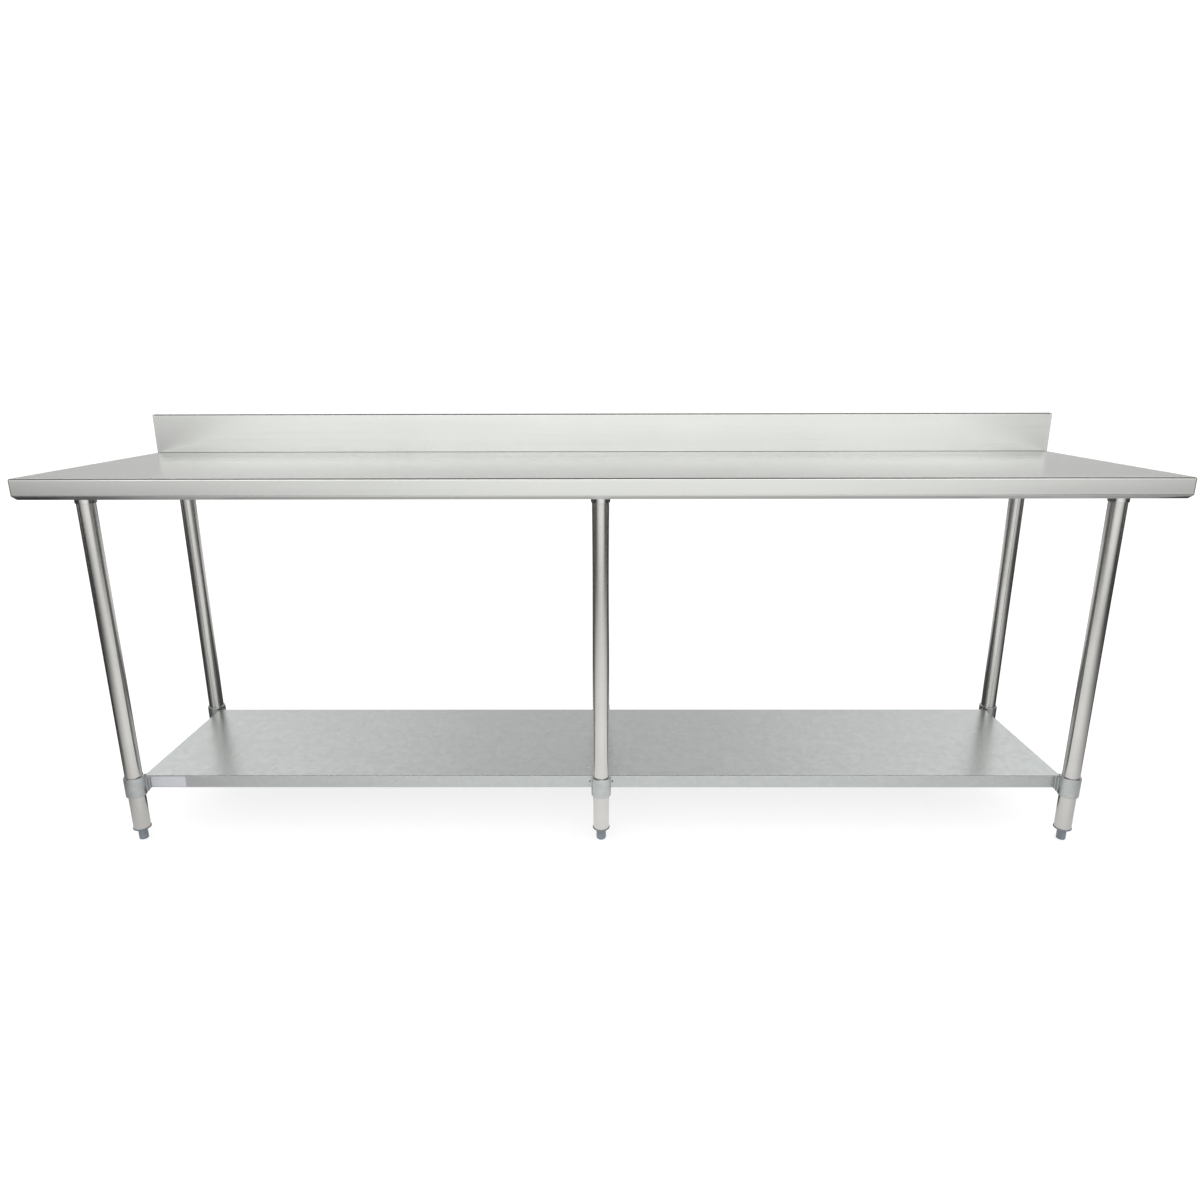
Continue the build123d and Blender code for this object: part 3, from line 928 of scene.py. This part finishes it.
def softbox(name, place, target, width, height, radiance):
    """Rectangular lamp that looks at a target."""
    data = bpy.data.lights.new(name, "AREA")
    data.shape = "RECTANGLE"
    data.size = width
    data.size_y = height
    data.energy = radiance * math.pi * width * height
    lamp = bpy.data.objects.new(name, data)
    lamp.location = place
    lamp.rotation_euler = (Vector(target) - Vector(place)).to_track_quat("-Z", "Y").to_euler()
    lamp.visible_camera = False
    bpy.context.collection.objects.link(lamp)


def background(tree, colour, strength):
    """World light from a plain colour or a socket."""
    made = tree.nodes.new("ShaderNodeBackground")
    made.inputs["Strength"].default_value = strength
    if isinstance(colour, tuple):
        made.inputs["Color"].default_value = colour
    else:
        tree.links.new(colour, made.inputs["Color"])
    return made.outputs["Background"]


def round_ramp(tree, share, stops):
    """Brightness of what stands round the table, by the angle away from straight ahead."""
    ramp = colour_ramp(tree, [(degrees / 180, value) for degrees, value in stops])
    tree.links.new(share, ramp.inputs["Fac"])
    return ramp.outputs["Color"]


def mixed(tree, factor, first, second):
    """Colour that goes from the first, a socket, to the second, a socket or a colour."""
    made = tree.nodes.new("ShaderNodeMix")
    made.data_type = "RGBA"
    tree.links.new(factor, made.inputs["Factor"])
    tree.links.new(first, made.inputs["A"])
    if isinstance(second, tuple):
        made.inputs["B"].default_value = second
    else:
        tree.links.new(second, made.inputs["B"])
    return made.outputs["Result"]


def mirrored_room(tree):
    """What the steel mirrors: a lit front, dim sides, a bright backdrop and a dark ceiling."""
    coords = tree.nodes.new("ShaderNodeTexCoord")
    split = tree.nodes.new("ShaderNodeSeparateXYZ")
    tree.links.new(coords.outputs["Generated"], split.inputs["Vector"])
    ahead = computed(tree, "MULTIPLY", split.outputs["Y"], -1)
    aside = computed(tree, "ABSOLUTE", split.outputs["X"])
    share = computed(tree, "DIVIDE", computed(tree, "ARCTAN2", aside, ahead), math.pi)
    low = round_ramp(tree, share, LOW_STOPS)
    high = round_ramp(tree, share, HIGH_STOPS)
    walls = mixed(tree, spread(tree, split.outputs["Z"], 0, 1, 0.27, 0.37), low, high)
    over = colour_ramp(tree, RISE_STOPS)
    tree.links.new(split.outputs["Z"], over.inputs["Fac"])
    return mixed(tree, over.outputs["Color"], walls, (OVERHEAD, OVERHEAD, OVERHEAD, 1))


def world():
    """Plain white light for everything but reflections, which see the mirrored room."""
    made = bpy.data.worlds.new("studio")
    bpy.context.scene.world = made
    made.use_nodes = True
    tree = made.node_tree
    tree.nodes.clear()
    out = tree.nodes.new("ShaderNodeOutputWorld")
    mirrored = background(tree, mirrored_room(tree), 1.0)
    plain = background(tree, (1, 1, 1, 1), PLAIN_LIGHT)
    path = tree.nodes.new("ShaderNodeLightPath")
    mix = tree.nodes.new("ShaderNodeMixShader")
    tree.links.new(path.outputs["Is Glossy Ray"], mix.inputs["Fac"])
    tree.links.new(plain, mix.inputs[1])
    tree.links.new(mirrored, mix.inputs[2])
    tree.links.new(mix.outputs["Shader"], out.inputs["Surface"])


# brightness of each glowing card from its centre (0) out to its reach (1); the floor card's stops make
# a painted pool of light
CARD_STOPS = [
    (0.0, 1.10), (0.20, 1.02), (0.30, 0.90), (0.40, 0.70), (0.50, 0.46),
    (0.60, 0.27), (0.70, 0.14), (0.82, 0.06), (1.0, 0.04),
]
# the side card's painted shade, darker away from the table
SIDE_STOPS = [(0.0, 0.7), (0.2, 0.55), (0.5, 0.15), (1.0, 0.06)]
# the back card's stops; the dim last stop, past the reach, is painted shade under the table
BACK_STOPS = [(0.0, 0.95), (0.70, 0.78), (0.88, 0.62), (1.0, 0.06)]
UPPER_STOPS = [(0.0, 1.35), (0.3, 1.32), (0.55, 1.2), (0.7, 0.7), (0.9, 0.1), (1.0, 0.05)]
PANEL_STOPS = [
    (0.0, 1.05), (0.14, 1.02), (0.26, 0.85), (0.38, 0.58),
    (0.52, 0.34), (0.70, 0.12), (0.85, 0.05), (1.0, 0.04),
]
# brightness of the mirrored room by the angle from straight ahead, near the horizon and higher up
LOW_STOPS = [
    (0, 0.9), (15, 1.0), (30, 0.9), (50, 0.62), (75, 0.42), (95, 0.34),
    (118, 0.28), (132, 0.34), (146, 0.44), (162, 0.49), (180, 0.56),
]
HIGH_STOPS = [
    (0, 1.2), (30, 1.0), (60, 0.7), (95, 0.45), (118, 0.7),
    (132, 1.5), (148, 1.8), (162, 1.5), (172, 1.2), (180, 1.17),
]
# share of the ceiling by height, and its brightness
RISE_STOPS = [(0.0, 0.0), (0.5, 0.0), (0.74, 1.0), (1.0, 1.0)]
OVERHEAD = 0.15
PLAIN_LIGHT = 1.05
EVEN = 1e6      # a reach so long that a card doesn't dim along that axis

camera()
floor()
# three glowing cards lie on the floor, seen only in reflections: under the table's front a painted
# pool of light, behind it a bright backdrop with painted shade under the table along its near edge,
# and at its left end painted shade
# floor card: painted pool of light on the floor in front of the table
floor_light_card = level_square("floor_card", (-12, 12), (-12, 12), 0.002)
reflector(floor_light_card, (0.12, -0.9, 0), (3.6, 3.0, 1), CARD_STOPS)
# back card: bright floor behind the table, and painted shade under the table along its near edge
back = level_square("back_card", (-2.4, 2.4), (-0.05, 6), 0.004)
reflector(back, (0.3, 3.0, 0), (4.5, 2.05, 1), BACK_STOPS)
# side card: painted shade on the floor beside the table's left end, dimmest furthest out
beside = level_square("side_card", (-4, -1.3), (-0.6, 0.6), 0.003)
reflector(beside, (-1.2, -0.5, 0), (0.8, 1.6, 1), SIDE_STOPS)
# two glowing cards stand in front of it, painted light that only reflections see, the nearer one only
# above knee height
panel = upright_square("front_card", 6, -2.6, (0, 2.6))
reflector(panel, (0.45, 0, 0), (5, EVEN, EVEN), PANEL_STOPS)
upper = upright_square("upper_card", 6, -2.55, (0.58, 2.6))
reflector(upper, (0, 0, 0), (5, EVEN, EVEN), UPPER_STOPS)
world()
softbox("softbox", (0, -2.5, 1.75), (0, 0, 0.8), width=5.0, height=1.1, radiance=1.3)
bpy.context.scene.view_settings.view_transform = "Standard"
